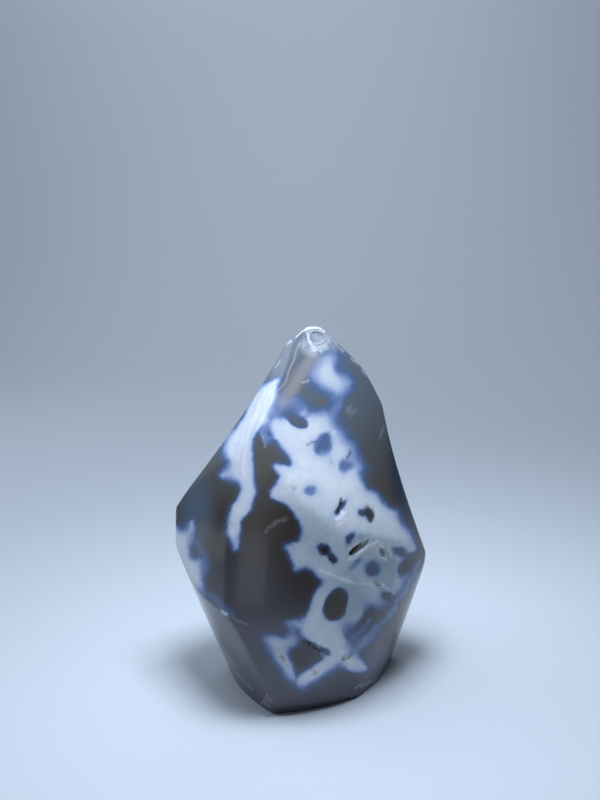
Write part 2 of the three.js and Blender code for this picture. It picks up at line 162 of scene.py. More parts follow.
# %% Faces: bend radius across and along in mm, twist in radians per mm, corners that each is laid through
FACES = [
    ("bright upper right", 58, -220, -0.0095,
     "tip_front_right sliver_foot spine_top spine_upper spine_middle spine_lower spine_elbow "
     "spine_elbow right_corner right_corner spine_right rim_top rim_upper rim_shoulder rim_middle "
     "rim_hollow rim_lower"),
    ("dark front", 38, 160, -0.0024,
     "sliver_foot spine_top spine_upper spine_middle spine_lower spine_elbow ledge_left "
     "girdle_middle girdle_middle girdle_front girdle_front girdle_front_left girdle_left "
     "cheek_upper cheek_middle cheek_lower cheek_foot"),
    ("left cheek", 300, 150, -0.001,
     "cheek_upper cheek_middle cheek_lower cheek_foot left_rim_middle left_rim_lower left_corner "
     "left_corner left_corner left_corner_low girdle_end"),
    ("upper left", 0, -250, 0.0045,
     "left_rim_top left_rim_top left_rim_upper left_rim_hollow left_rim_waist left_rim_middle "
     "left_rim_lower left_corner left_corner tip_front_left sliver_foot cheek_top"),
    ("sliver under the tip", 0, 0, 0,
     "tip_front_left tip_front_right sliver_foot"),
    ("small right", 72, 0, -0.006,
     "spine_elbow spine_elbow right_corner spine_right ledge_left ledge_middle ledge_middle "
     "ledge_right"),
    ("under the ledge", 62, 0, -0.01,
     "ledge_left ledge_middle ledge_middle ledge_right flank_middle flank_foot girdle_right"),
    ("lower front", 35, 0, -0.004,
     "girdle_middle girdle_right flank_foot girdle_front girdle_front_left girdle_front_left "
     "bevel_front bevel_front_middle bevel_front_right bevel_right_front"),
    ("lower left", 48, 0, 0.004,
     "girdle_front_left girdle_left girdle_end left_corner_low lower_left_edge bevel_left_end "
     "bevel_left bevel_front_left"),
    ("right flank", 70, 0, -0.006,
     "right_corner flank_middle flank_foot bevel_right bevel_right_middle bevel_right_end "
     "lower_right_edge"),
    ("tip", 20, 20, 0,
     "cap_top cap_left cap_right cap_front cap_back"),
    ("left of the tip", 0, 0, 0,
     "cap_left nose_left nose_left_back"),
    ("right of the tip", 30, 0, 0,
     "cap_right rim_top rim_upper nose_right_back"),
    ("back left", 200, -145, 0.002,
     "left_rim_top left_rim_upper left_rim_hollow left_rim_waist left_rim_waist left_rim_middle "
     "left_rim_lower left_corner left_corner left_corner back_left tip"),
    ("back", 38, 110, 0.003,
     "back_left back_middle back_right back_upper tip"),
    ("back shoulder", 200, 150, 0.004,
     "rim_top rim_upper rim_shoulder rim_middle back_upper tip tip_right"),
    ("back right", 300, -90, 0.008,
     "rim_middle rim_hollow rim_lower right_corner right_corner back_right back_upper"),
    ("lower back left", 60, 0, 0,
     "left_corner_low left_corner_low back_left foot_back_left foot_left_back"),
    ("lower back", 32, 150, 0,
     "back_left back_middle back_right foot_back_left foot_back foot_back_right"),
    ("lower back right", 100, 0, 0,
     "right_corner right_corner lower_right_edge bevel_right_end foot_right_back back_right "
     "foot_back_right"),
    ("left bevel", 60, 0, 0,
     "bevel_left_end bevel_left bevel_front_left bevel_front foot_left_back foot_left "
     "foot_front_left"),
    ("front bevel", 50, 0, 0,
     "bevel_front bevel_front_middle bevel_front_right bevel_right_front foot_front "
     "foot_front_middle foot_front_right foot_right_front foot_right"),
    ("right bevel", 0, 0, 0,
     "bevel_right bevel_right_middle bevel_right_end foot_right_corner foot_right_middle "
     "foot_right_back"),
]
print(len(FACES), "faces")


# %% A face as a bent sheet
HEART = np.array([0.0, -1.0, 42.0])  # mm, a point deep inside, behind every face


class Sheet:
    """A bent sheet laid through corners by least squares; its height is below zero inside the stone."""

    def __init__(self, across, along, twist, corners):
        points = np.array([CORNERS[corner] for corner in corners.split()])
        self.middle = points.mean(0)
        self.normal = np.linalg.svd(points - self.middle)[2][2]
        if self.normal @ (HEART - self.middle) > 0:
            self.normal = -self.normal
        self.right = np.cross([0, 0, 1], self.normal)
        self.right /= np.linalg.norm(self.right)
        self.up = np.cross(self.normal, self.right)
        self.bends = [1 / radius if radius else 0.0 for radius in (across, along)]
        self.twist = twist
        self.lean = np.zeros(3)
        u, v = self.place(points)
        columns = np.stack([u, v, np.ones_like(u)], 1)
        self.lean = np.linalg.lstsq(columns, self.height(points), rcond=None)[0]

    def place(self, points):
        return (points - self.middle) @ self.right, (points - self.middle) @ self.up

    def height(self, points):
        u, v = self.place(points)
        bent = self.bends[0] * u * u / 2 + self.bends[1] * v * v / 2 + self.twist * u * v
        tilt = self.lean[0] * u + self.lean[1] * v + self.lean[2]
        return (points - self.middle) @ self.normal + bent - tilt

    def slope(self, points):
        u, v = self.place(points)
        by_u = self.bends[0] * u + self.twist * v - self.lean[0]
        by_v = self.bends[1] * v + self.twist * u - self.lean[1]
        return self.normal + by_u[:, None] * self.right + by_v[:, None] * self.up


sheets = [Sheet(across, along, twist, corners) for _, across, along, twist, corners in FACES]
leans = [math.degrees(math.acos(sheet.normal[2])) for sheet in sheets]
print(f"the faces lean from {min(leans):.0f} to {max(leans):.0f} degrees from level")

# %% [markdown]
# The stone is the space behind every sheet. A plain maximum of the heights would leave knife-sharp ridges,
# and polishing rounds them, so a soft maximum is used: it eases a ridge by a fifth of a millimetre and
# leaves the rest of each face as it is. Its slope is the skin's normal.

# %% The skin of the stone
RIDGE_EASE = 0.2  # mm
SETTLE_ROUNDS = 4  # steps towards the skin, each much closer than the one before


def skin(points):
    """Height over the stone and its slope, at points in mm."""
    heights = np.stack([sheet.height(points) for sheet in sheets])
    highest = heights.max(0)
    weights = np.exp((heights - highest) / RIDGE_EASE)
    total = weights.sum(0)
    slopes = np.zeros_like(points)
    for sheet, weight in zip(sheets, weights / total):
        slopes += weight[:, None] * sheet.slope(points)
    return highest + RIDGE_EASE * np.log(total), slopes


def ridge_gap(points):
    """How far the second face lies under the first one: small near a ridge."""
    heights = np.sort(np.stack([sheet.height(points) for sheet in sheets]), axis=0)
    return heights[-1] - heights[-2]


def settle(points, in_foot):
    """Moves points to the skin. Those in the foot's rim stay level."""
    for _ in range(SETTLE_ROUNDS):
        height, slope = skin(points)
        slope[in_foot, 2] = 0
        points = points - (height / (slope**2).sum(1))[:, None] * slope
    return points


print("skin over the heart:", round(float(-skin(HEART[None])[0][0]), 1), "mm away")

# %% [markdown]
# The mesh starts as rings of points from the foot to the tip, each found along its own ray from the middle
# line of the stone. Then every edge that is too long for its place is halved and its new point is moved to
# the skin. So ridges, pits and the borders of the pattern get small triangles, and plain faces get larger
# ones, and the count stays well below what one even grid would need.

# %% Rings of points
FOOT_MIDDLE = np.array([-0.5, -2.2, 0])
CROWN = np.array([5.5, 2.1, 80])  # mm, inside the tip, where the middle line ends
GIRTH = np.array([33, 24])  # mm, half width and half depth, to space the points round a ring
COLUMNS = 150
RINGS = 84
CLIMB_POWER = 3.5  # how late the rings begin to look up
FAR = 80.0  # mm, farther from the middle line than any part of the skin
HALVINGS = 20  # of the stretch in which the skin is looked for


def ring_points():
    shares = np.repeat(np.arange(RINGS) / RINGS, COLUMNS)
    turns = np.tile(np.arange(COLUMNS) * 2 * np.pi / COLUMNS, RINGS)
    climbs = np.radians(90) * shares**CLIMB_POWER
    level = np.stack([GIRTH[0] * np.cos(turns), GIRTH[1] * np.sin(turns), 0 * turns], 1)
    level /= np.linalg.norm(level, axis=1)[:, None]
    directions = level * np.cos(climbs)[:, None] + np.outer(np.sin(climbs), [0, 0, 1])
    origins = FOOT_MIDDLE + shares[:, None] * (CROWN - FOOT_MIDDLE)
    directions = np.vstack([directions, [0, 0, 1]])
    origins = np.vstack([origins, CROWN])
    inside, outside = np.zeros(len(origins)), np.full(len(origins), FAR)
    for _ in range(HALVINGS):
        halfway = (inside + outside) / 2
        hit = skin(origins + halfway[:, None] * directions)[0] < 0
        inside, outside = np.where(hit, halfway, inside), np.where(hit, outside, halfway)
    return origins + inside[:, None] * directions


def ring_triangles():
    here = np.arange((RINGS - 1) * COLUMNS)
    beside = here // COLUMNS * COLUMNS + (here % COLUMNS + 1) % COLUMNS
    lower = np.stack([here, beside, beside + COLUMNS], 1)
    upper = np.stack([here, beside + COLUMNS, here + COLUMNS], 1)
    last = np.arange(COLUMNS) + (RINGS - 1) * COLUMNS
    cap = np.stack([last, np.roll(last, -1), np.full(COLUMNS, RINGS * COLUMNS)], 1)
    return np.vstack([lower, upper, cap])


points, triangles = ring_points(), ring_triangles()
print(len(points), "points in rings")

# %% Halving of long edges
FINEST = 0.15  # mm, edges below this are never halved
AT_FOOT = 1e-6  # mm, height below which a point lies in the foot


def halve(points, triangles, wanted):
    """Splits each edge longer than the wanted length at its middle, and returns the finer mesh."""
    edges = np.sort(np.stack([triangles, np.roll(triangles, -1, 1)], 2).reshape(-1, 2), 1)
    unique, which = np.unique(edges, axis=0, return_inverse=True)
    ends = points[unique]
    length = np.linalg.norm(ends[:, 0] - ends[:, 1], axis=1)
    middles = ends.mean(1)
    split = length > FINEST
    split[split] = length[split] > wanted(middles[split])
    in_foot = (ends[split, :, 2] < AT_FOOT).all(1)
    added = settle(middles[split], in_foot)
    number = np.full(len(unique), -1)
    number[split] = len(points) + np.arange(split.sum())
    cuts = number[which.reshape(-1, 3)]
    finer = []
    for (a, b, c), (ab, bc, ca) in zip(triangles.tolist(), cuts.tolist()):
        corners = [(a, ab), (b, bc), (c, ca)]
        halved = sum(cut >= 0 for _, cut in corners)
        if halved == 0:
            finer.append((a, b, c))
        elif halved == 3:
            finer += [(a, ab, ca), (ab, b, bc), (ca, bc, c), (ab, bc, ca)]
        else:
            while corners[0][1] < 0 or (halved == 2 and corners[2][1] >= 0):
                corners = corners[1:] + corners[:1]
            (a, ab), (b, bc), (c, _) = corners
            if halved == 1:
                finer += [(a, ab, c), (ab, b, c)]
            else:
                finer += [(ab, b, bc), (a, ab, bc), (a, bc, c)]
    return np.vstack([points, added]), np.array(finer)


# %% [markdown]
# The pattern. In the rough, the white kind runs through the dark one in branching masses, and each cut shows
# a slice of them: patches with arms, necks and round windows. Their outlines are drawn here as they are seen
# from the front, in pixels of the picture, and every point of the skin gets its distance from the nearest
# outline in mm: above zero in the white, below zero in the dark. A distance, unlike a plain yes or no, lets
# the finish make a soft rim of any width.

# %% Outlines of the white patches, in pixels
WHITE_PATCHES = {
    "streak down the left ridge": [
        (279, 379), (277, 388), (278, 398), (277, 406), (274, 414), (269, 422), (261, 427), (255, 432),
        (252, 438), (252, 448), (252, 458), (253, 470), (254, 482), (255, 494), (253, 499), (250, 509),
        (243, 517), (240, 522), (240, 530), (239, 538), (237, 547), (235, 549), (234, 545), (231, 539),
        (227, 533), (228, 526), (229, 520), (231, 512), (234, 505), (237, 502), (241, 494), (242, 488),
        (239, 482), (231, 479), (223, 478), (220, 475), (225, 470), (229, 465), (230, 461), (226, 457),
        (224, 451), (224, 446), (226, 438), (231, 433), (238, 427), (243, 420), (248, 410), (251, 402),
        (255, 393), (261, 387), (269, 383), (275, 380),
    ],
    "left corner": [
        (175, 526), (180, 531), (186, 530), (190, 522), (193, 520), (194, 528), (192, 538), (189, 548),
        (190, 557), (195, 560), (200, 560), (202, 568), (202, 580), (203, 590), (204, 594), (195, 588),
        (187, 580), (178, 566), (170, 552), (168, 536),
    ],
    "under the tip": [
        (329, 350), (337, 355), (336, 366), (338, 372), (346, 376), (352, 382), (350, 389), (343, 396),
        (337, 398), (330, 393), (322, 389), (312, 381), (309, 375), (311, 369), (316, 361), (322, 354),
    ],
    "middle": [
        (271, 420), (274, 416), (281, 418), (290, 419), (297, 414), (303, 408), (309, 414), (317, 412),
        (325, 411), (331, 414), (335, 422), (341, 430), (347, 438), (354, 446), (356, 456), (363, 466),
        (360, 474), (362, 482), (367, 490), (377, 494), (381, 500), (387, 508), (397, 512), (401, 522),
        (408, 530), (413, 540), (416, 549), (413, 551), (408, 554), (401, 560), (397, 568), (398, 574),
        (402, 578), (408, 577), (405, 580), (401, 590), (396, 593), (389, 593), (383, 591), (380, 596),
        (384, 602), (383, 605), (377, 606), (367, 604), (362, 612), (358, 620), (353, 625), (346, 629),
        (344, 634), (345, 638), (351, 644), (356, 652), (361, 660), (367, 668), (365, 671), (357, 671),
        (349, 670), (343, 666), (339, 665), (335, 668), (325, 674), (313, 682), (305, 687), (299, 687),
        (295, 682), (297, 678), (305, 672), (315, 666), (325, 660), (323, 652), (317, 646), (309, 640),
        (303, 636), (301, 634), (299, 630), (293, 625), (291, 621), (301, 620), (307, 616), (310, 608),
        (313, 600), (317, 592), (322, 586), (323, 580), (317, 576), (313, 570), (307, 567), (299, 568),
        (295, 570), (293, 562), (290, 554), (286, 547), (292, 544), (299, 541), (301, 536), (302, 528),
        (299, 520), (293, 510), (285, 502), (279, 501), (271, 497), (271, 492), (277, 484), (281, 476),
        (278, 472), (273, 467), (275, 465), (283, 465), (291, 467), (292, 462), (287, 454), (281, 446),
        (274, 438), (270, 428),
    ],
    "lower left arm": [
        (263, 636), (273, 636), (283, 638), (293, 634), (298, 637), (296, 643), (289, 648), (287, 654),
        (290, 662), (294, 672), (297, 680), (293, 682), (287, 677), (281, 668), (274, 658), (269, 650),
        (265, 642),
    ],
}
# dark windows: middle, half width and half height in pixels, turn clockwise in degrees, and how dark they
# get: the lowest distance in mm that they may reach, where a value above zero leaves only a blue shade
WINDOWS = [
    ((297, 421), 12, 7.5, 30, -9), ((323, 446), 9, 8, -20, -0.4), ((326, 438), 4.5, 3.5, -40, -0.5),
    ((317, 450), 4, 3.5, 10, -0.5), ((346, 466), 4.5, 7, 35, -0.4), ((342, 474), 3.5, 3, 0, 0.1),
    ((331, 461), 3, 4.5, -15, 0.3), ((311, 490), 5.5, 3, 10, -0.1), ((363, 513), 5.5, 5, 10, -1.1),
    ((370, 515), 4.5, 9, -8, -9), ((323, 550), 7.5, 6, 20, -1.3), ((332, 558), 6.5, 5, 35, -1.3),
    ((372, 569), 8, 7, -20, -1.0), ((356, 564), 7, 3, -45, -0.15), ((335, 605), 13, 18.5, 27, -9),
    ((401, 552), 10, 5.5, 18, -0.7), ((326, 652), 6, 4, 15, -0.6), ((340, 508), 4, 9.5, 28, -0.7),
    ((352, 537), 4.5, 8, 33, -0.9), ((362, 537), 8, 5, 5, 0.3), ((236, 446), 3, 7, 30, 0.35),
    ((393, 562), 3, 7, 0, 0.4),
]
WINDOW_EDGE = 1.15  # how much crisper the edge of a window is than the outer edge of a patch
# pale links: points, half width in pixels, and the distance in mm that stands for how white they get
PALE_LINKS = [
    ([(420, 560), (412, 575), (407, 586), (395, 607), (376, 630)], 2.4, 0.0),
    ([(376, 630), (366, 640), (357, 648)], 4.5, 0.1), ([(350, 624), (362, 613), (374, 603)], 5.0, -0.5),
    ([(350, 638), (360, 632), (370, 620)], 5.0, -0.4), ([(338, 394), (337, 405), (332, 414)], 6.0, 0.0),
    ([(276, 412), (284, 404), (293, 402), (303, 410)], 7.0, 0.1),
    ([(199, 542), (204, 556), (207, 570)], 5.0, -0.6), ([(211, 595), (222, 606), (229, 612)], 4.0, -0.6),
    ([(268, 424), (263, 433), (268, 441)], 5.0, -0.2), ([(370, 600), (379, 608), (386, 604)], 3.0, -0.4),
    ([(286, 622), (294, 629), (292, 636)], 4.0, -0.1), ([(308, 560), (300, 566), (296, 560)], 3.0, -0.1),
]
print(sum(len(outline) for outline in WHITE_PATCHES.values()), "points on the outlines")

# %% [markdown]
# Where a border of the white lies shallow under the polish, the white thins out slowly and its edge looks
# soft. Where the border dives straight in, the edge is crisp. The soft places are drawn as broad strokes.

# %% Soft places: points in pixels, half width in pixels, and how soft they are from 0 to 1
SOFT_PLACES = [
    ([(313, 384), (318, 360), (334, 354), (350, 384), (338, 398), (318, 386)], 9, 1),
    ([(336, 398), (334, 414)], 8, 1), ([(272, 412), (285, 401), (300, 405)], 9, 1),
    ([(262, 424), (268, 440), (284, 456)], 5, 0.6), ([(303, 408), (315, 412), (331, 412)], 7, 0.8),
    ([(335, 420), (347, 438), (356, 456), (366, 472)], 10, 1),
    ([(224, 436), (222, 456), (232, 480)], 7, 0.8),
    ([(366, 490), (382, 496), (400, 512), (412, 540)], 5, 0.5),
    ([(262, 636), (272, 664), (290, 684)], 7, 0.8), ([(300, 690), (318, 682), (340, 668)], 6, 0.8),
    ([(346, 624), (358, 640), (350, 650)], 8, 1), ([(205, 596), (220, 606), (236, 616)], 7, 1),
    ([(186, 530), (198, 548), (206, 572)], 6, 0.8), ([(322, 446), (322, 447)], 9, 0.8),
    ([(346, 464), (350, 464)], 7, 1), ([(311, 490), (312, 490)], 6, 0.8),
    ([(292, 636), (300, 626)], 7, 0.8), ([(418, 562), (400, 600), (372, 640)], 6, 1),
    ([(373, 568), (374, 568)], 7, 0.6), ([(284, 545), (292, 565), (305, 570)], 5, 0.5),
    ([(398, 512), (410, 530)], 6, 0.7), ([(360, 600), (385, 606)], 6, 0.7),
]
print(len(SOFT_PLACES), "soft places")

# %% [markdown]
# Small marks are drawn as strokes in the same way: frosted spots where the polish is bruised or chipped, rust
# from the water that ran through the rough, pale veins under the tip, and hairlines of dirt. Some of the
# white strokes are painted highlights along edges, and a dark stroke is painted shade in the deep part of the
# vug.

# %% Marks: points in pixels, half width in pixels, strength from 0 to 1
MARKS = {
    "frost_and_glint": [
        # the first stroke is a painted highlight on the top edge of the tip
        ([(305, 331), (312, 327), (318, 327), (325, 332)], 0.9, 0.6),
        ([(308, 334), (308, 341), (313, 347)], 1.2, 0.8), ([(313, 348), (319, 350), (325, 346)], 3.2, 0.75),
        ([(325, 346), (328, 340)], 1.6, 0.6), ([(304, 344), (307, 350), (314, 353)], 3.5, 0.35),
        # the two broad strokes here are a painted highlight: haze by the tip
        ([(311, 332), (321, 334)], 4, 0.35), ([(327, 340), (333, 346)], 4, 0.35),
        ([(317, 351), (320, 352)], 1.2, 1), ([(335, 342), (343, 352)], 0.7, 0.5),
        ([(352, 358), (358, 364)], 0.6, 0.5), ([(361, 369), (365, 374)], 0.5, 0.35),
        # the first stroke is a painted glint on the left rim
        ([(286, 345), (291, 341)], 1.0, 0.8), ([(276, 366), (280, 361)], 0.7, 0.35),
        ([(302, 383), (309, 380)], 0.7, 0.5), ([(336, 519), (341, 517), (345, 513)], 1.2, 1),
        ([(338, 524), (344, 521)], 2.6, 0.4),
        ([(349, 560), (356, 558), (362, 552), (369, 547), (377, 541)], 1.2, 0.9),
        ([(350, 549), (358, 543), (366, 540)], 0.9, 0.45),
        ([(380, 545), (383, 552), (386, 559)], 1.5, 0.65), ([(377, 550), (380, 556)], 1.0, 0.4),
        # painted highlight: the bright line along the ledge, in the second stroke here and the first of the
        # next line
        ([(388, 546), (391, 556)], 1.2, 0.4), ([(320, 570), (332, 575), (342, 579), (354, 583)], 1.0, 0.6),
        ([(341, 578), (348, 581)], 1.6, 0.7), ([(356, 583), (370, 584), (382, 586), (393, 593)], 0.9, 0.45),
        ([(377, 584), (384, 586)], 1.6, 0.8), ([(388, 590), (393, 593)], 1.5, 0.7),
        ([(341, 652), (346, 657), (351, 662)], 1.8, 0.6), ([(345, 653), (349, 651)], 1.0, 0.5),
        ([(222, 611), (227, 614)], 0.9, 0.8), ([(205, 600), (214, 608), (230, 617), (247, 624)], 0.5, 0.22),
        # the first stroke is a painted highlight down the left bevel
        ([(214, 634), (226, 655), (240, 677), (252, 689)], 0.8, 0.2), ([(331, 434), (336, 431)], 0.7, 0.7),
        ([(263, 437), (266, 447)], 0.5, 0.4), ([(262, 704), (266, 696)], 0.5, 0.35),
        ([(265, 706), (269, 698)], 0.5, 0.35), ([(268, 707), (272, 699)], 0.4, 0.3),
        ([(355, 688), (362, 684)], 0.5, 0.3), ([(361, 687), (370, 681)], 0.5, 0.35),
        ([(367, 684), (376, 679)], 0.5, 0.3), ([(264, 532), (276, 522), (286, 519)], 0.5, 0.2),
        ([(268, 528), (279, 520), (284, 517)], 0.5, 0.16), ([(346, 413), (352, 405)], 0.5, 0.2),
        ([(349, 416), (356, 409)], 0.5, 0.18), ([(380, 438), (384, 426)], 0.5, 0.2),
        ([(293, 460), (300, 461)], 0.7, 0.35),
    ],
    "vein": [
        ([(299, 344), (295, 356), (290, 370), (284, 384), (276, 393)], 0.7, 0.6),
        ([(317, 354), (309, 363), (299, 375), (289, 388), (280, 401)], 1.3, 0.42),
        ([(314, 356), (304, 366), (294, 378), (285, 392)], 0.6, 0.35),
        ([(314, 358), (300, 376), (283, 402)], 5.0, 0.5), ([(320, 352), (312, 364), (302, 378)], 0.6, 0.35),
        ([(262, 390), (255, 408), (247, 432), (241, 455), (240, 474)], 0.6, 0.4),
        ([(268, 392), (259, 414), (251, 438), (246, 462)], 0.5, 0.32),
        ([(255, 402), (246, 424), (236, 446)], 0.5, 0.25),
    ],
    "rust": [
        ([(353, 553), (358, 548), (362, 545)], 1.6, 0.9), ([(281, 657), (284, 660)], 1.4, 0.6),
        ([(314, 671), (316, 673)], 1.3, 0.5), ([(319, 403), (322, 403)], 1.0, 0.5),
        ([(368, 509), (372, 518)], 3.0, 0.16), ([(345, 655), (350, 660)], 1.6, 0.22),
        ([(337, 523), (346, 526)], 3.0, 0.2), ([(383, 550), (386, 556)], 2.5, 0.25),
        ([(291, 487), (296, 488)], 1.2, 0.25), ([(230, 523), (234, 525)], 1.0, 0.25),
    ],
    "dirt_and_pit_shade": [
        ([(304, 641), (308, 644), (313, 642), (317, 646), (321, 647), (323, 651)], 0.6, 0.9),
        ([(307, 446), (311, 443), (317, 442)], 0.5, 0.7), ([(347, 457), (351, 453)], 0.7, 0.75),
        # the second stroke here, in the deep part of the vug, is painted shade
        ([(326, 435), (333, 432)], 0.5, 0.4), ([(352, 554), (358, 548)], 1.2, 0.95),
        ([(367, 508), (368, 518)], 2.2, 0.55), ([(372, 510), (371, 517)], 1.6, 0.5),
        ([(337, 512), (341, 503)], 1.8, 0.6), ([(323, 550), (326, 552)], 1.0, 0.8),
        ([(344, 660), (346, 656)], 0.6, 0.5), ([(382, 549), (384, 552)], 0.7, 0.5),
        ([(293, 490), (295, 490)], 0.8, 0.35), ([(318, 352), (319, 353)], 0.6, 0.8),
    ],
}
print(sum(len(strokes) for strokes in MARKS.values()), "marks")

# %% [markdown]
# The sides and the back can't be seen in the one picture, so their pattern is a guess. The same masses are
# carried on through the stone: a few bent tubes in space start from the patches that reach the outline of
# the stone in the picture, and their edges are made uneven to match the outlines in front.

# %% White masses on the sides and the back: two ends in mm and the radius at each
WHITE_BRANCHES = [
    ((-33, 6, 34), (-22, 17, 42), 6, 4), ((-22, 17, 42), (-8, 23, 40), 4, 6.5),
    ((-8, 23, 40), (3, 22, 56), 6.5, 4), ((3, 22, 56), (8, 15, 72), 4, 5.5),
    ((-8, 23, 40), (2, 26, 24), 5, 6), ((2, 26, 24), (16, 22, 22), 6, 3.5),
    ((16, 22, 22), (27, 13, 33), 3.5, 5), ((27, 13, 33), (24, 9, 50), 5, 3),
    ((-14, 10, 66), (-9, 14, 76), 3, 2.5), ((-19, 3, 60), (-13, 12, 66), 4, 3),
    ((-25, 12, 14), (-14, 19, 9), 3.5, 5), ((22, 14, 60), (20, 12, 70), 3, 2),
]
# dark windows in them: middle and radius in mm
BACK_WINDOWS = [
    ((-8, 25, 41), 3), ((3, 26, 25), 2.6), ((-24, 15, 41), 2), ((6, 17, 66), 2), ((27, 12, 36), 2),
]
print(len(WHITE_BRANCHES), "branches behind")


# %% Distances, and noise that makes edges uneven
def to_segment(at, start, end):
    """Distance from points to a straight piece, and where on it from 0 to 1 the nearest spot is."""
    run = end - start
    share = np.clip((at - start) @ run / (run @ run), 0, 1)
    return np.linalg.norm(at - start - share[:, None] * run, axis=1), share


def inside_outline(at, outline):
    """Signed distance in pixels from a closed outline, above zero inside."""
    starts = np.array(outline, float)
    ends = np.roll(starts, -1, 0)
    nearest = np.full(len(at), 1e9)
    inside = np.zeros(len(at), bool)
    for start, end in zip(starts, ends):
        run = end - start
        nearest = np.minimum(nearest, to_segment(at, start, end)[0])
        crosses = (start[1] > at[:, 1]) != (end[1] > at[:, 1])
        level = start[0] + (at[:, 1] - start[1]) * run[0] / (run[1] or 1)
        inside ^= crosses & (at[:, 0] < level)
    return np.where(inside, nearest, -nearest)


def wobble(points, size, seed):
    """Smooth noise from about -1 to 1 with bumps of a size, in the unit of the points."""
    shift = Vector((seed, -seed, 2.3 * seed))
    return np.array([noise.noise(Vector(point) / size + shift) for point in points]) * 1.8


def ease(low, high, value):
    """0 below low, 1 above high and a smooth step between them."""
    share = np.clip((value - low) / (high - low), 0, 1)
    return share * share * (3 - 2 * share)


# %% [markdown]
# The drawn outlines become maps, with one value for each pixel of the part of the picture with the stone.
# A window is a bowl in the map of the white, and a link is a low ridge. Each melts into what is round it,
# because a plain minimum or maximum leaves a crease that would show as a drawn line.

# %% Grid of pixels
CORNER = np.array([160, 310])  # pixels
ACROSS, DOWN = 280, 415  # pixels
MM_PER_PIXEL = 0.244  # at the stone
BUMP = 9  # pixels, size of the bends in strokes and windows
PATTERN_BEND, MARK_BEND = 1.6, 0.9  # pixels by which windows and links are bent, and marks

cells = np.stack(np.meshgrid(np.arange(ACROSS), np.arange(DOWN)), -1).reshape(-1, 2) + CORNER.astype(float)
flat = np.column_stack([cells, np.zeros(len(cells))])
uneven = np.stack([wobble(flat, BUMP, 5), wobble(flat, BUMP, 31)], 1)
print(len(cells), "pixels in each map")


# %% Map of the white: distance from the border in mm
MELT = 1.4  # pixels over which a window or a link melts into its surroundings
LINK_DROP = 3.0  # pixels by which a link has darkened at its half width
NOWHERE = -300.0  # pixels, farther from the white than any part of the map
ROUNDINGS = 3  # rounds of smoothing, which round the corners of the outlines by about a pixel


def melt(a, b):
    """The higher of two maps, with a soft change from one to the other."""
    return MELT * np.logaddexp(a / MELT, b / MELT)


def stroke_gap(at, line):
    line = np.array(line, float)
    return np.min([to_segment(at, start, end)[0] for start, end in zip(line, line[1:])], 0)


def bowl(middle, half_width, half_height, turn, darkest):
    """The map that a window cuts into: its lowest value in the middle, rising through zero to its rim."""
    turn = math.radians(turn)
    offset = cells + PATTERN_BEND * uneven - np.array(middle)
    x = (offset[:, 0] * math.cos(turn) + offset[:, 1] * math.sin(turn)) / half_width
    y = (offset[:, 1] * math.cos(turn) - offset[:, 0] * math.sin(turn)) / half_height
    reach = np.hypot(x, y)
    rise = math.sqrt(half_width * half_height) * WINDOW_EDGE
    lowest = darkest / MM_PER_PIXEL
    if darkest >= 0:
        return lowest + rise / 2 * reach**2
    return np.maximum((reach - 1) * rise, lowest * (1 - reach**2))


milk_map = np.full(len(cells), NOWHERE)
for outline in WHITE_PATCHES.values():
    milk_map = np.maximum(milk_map, inside_outline(cells, outline))
for window in WINDOWS:
    milk_map = -melt(-milk_map, -bowl(*window))
for line, half_width, palest in PALE_LINKS:
    gap = stroke_gap(cells + PATTERN_BEND * uneven, line)
    milk_map = melt(milk_map, palest / MM_PER_PIXEL - LINK_DROP * (gap / half_width) ** 2)
milk_map = milk_map.reshape(DOWN, ACROSS) * MM_PER_PIXEL
for _ in range(ROUNDINGS):
    inner = milk_map[1:-1, 1:-1]
    beside = milk_map[:-2, 1:-1] + milk_map[2:, 1:-1] + milk_map[1:-1, :-2] + milk_map[1:-1, 2:]
    inner += (beside - 4 * inner) / 8
print(f"{(milk_map > 0).mean():.0%} of the map is white")

# %% Maps of the soft places and the marks: strength from 0 to 1
FULL_OUT_TO, GONE_AT = 4 / 7, 2  # half widths from the middle line of a stroke

mark_maps = {}
for kind, strokes in {"soft": SOFT_PLACES, **MARKS}.items():
    strongest = np.zeros(len(cells))
    for line, half_width, strength in strokes:
        gap = stroke_gap(cells + MARK_BEND * uneven, line) / half_width
        strongest = np.maximum(strongest, strength * np.clip((GONE_AT - gap) / (GONE_AT - FULL_OUT_TO), 0, 1))
    mark_maps[kind] = strongest.reshape(DOWN, ACROSS)
print("maps of", ", ".join(mark_maps))

# %% [markdown]
# A map is read where a point of the skin is seen from the camera. That holds only for the front. Where the
# skin turns away, the read pattern would be stretched out, so it gives way to the pattern of the branches.

# %% Reading the pattern at points of the skin
BRANCH_BEND, BRANCH_BUMP = 2.2, 7  # mm by which the edges of the branches are bent, and size of the bends
TURNED_AWAY, IN_VIEW = 0.02, 0.22  # cosine of the angle between the skin's normal and the way to the camera


def read_map(values, points):
    """Values of a map where points in mm are seen."""
    at = np.clip(pixels_of(points) - CORNER, 0, [ACROSS - 1.001, DOWN - 1.001])
    whole = at.astype(int)
    x, y = (at - whole).T
    column, row = whole.T
    upper = values[row, column] * (1 - x) + values[row, column + 1] * x
    lower = values[row + 1, column] * (1 - x) + values[row + 1, column + 1] * x
    return upper * (1 - y) + lower * y


def milk_behind(points):
    bent = points + BRANCH_BEND * np.stack([wobble(points, BRANCH_BUMP, seed) for seed in (3, 11, 19)], 1)
    distance = np.full(len(points), -1e9)
    for start, end, radius, end_radius in WHITE_BRANCHES:
        gap, share = to_segment(bent, np.array(start, float), np.array(end, float))
        distance = np.maximum(distance, radius + share * (end_radius - radius) - gap)
    for middle, radius in BACK_WINDOWS:
        distance = np.minimum(distance, np.linalg.norm(bent - np.array(middle), axis=1) - radius)
    return distance


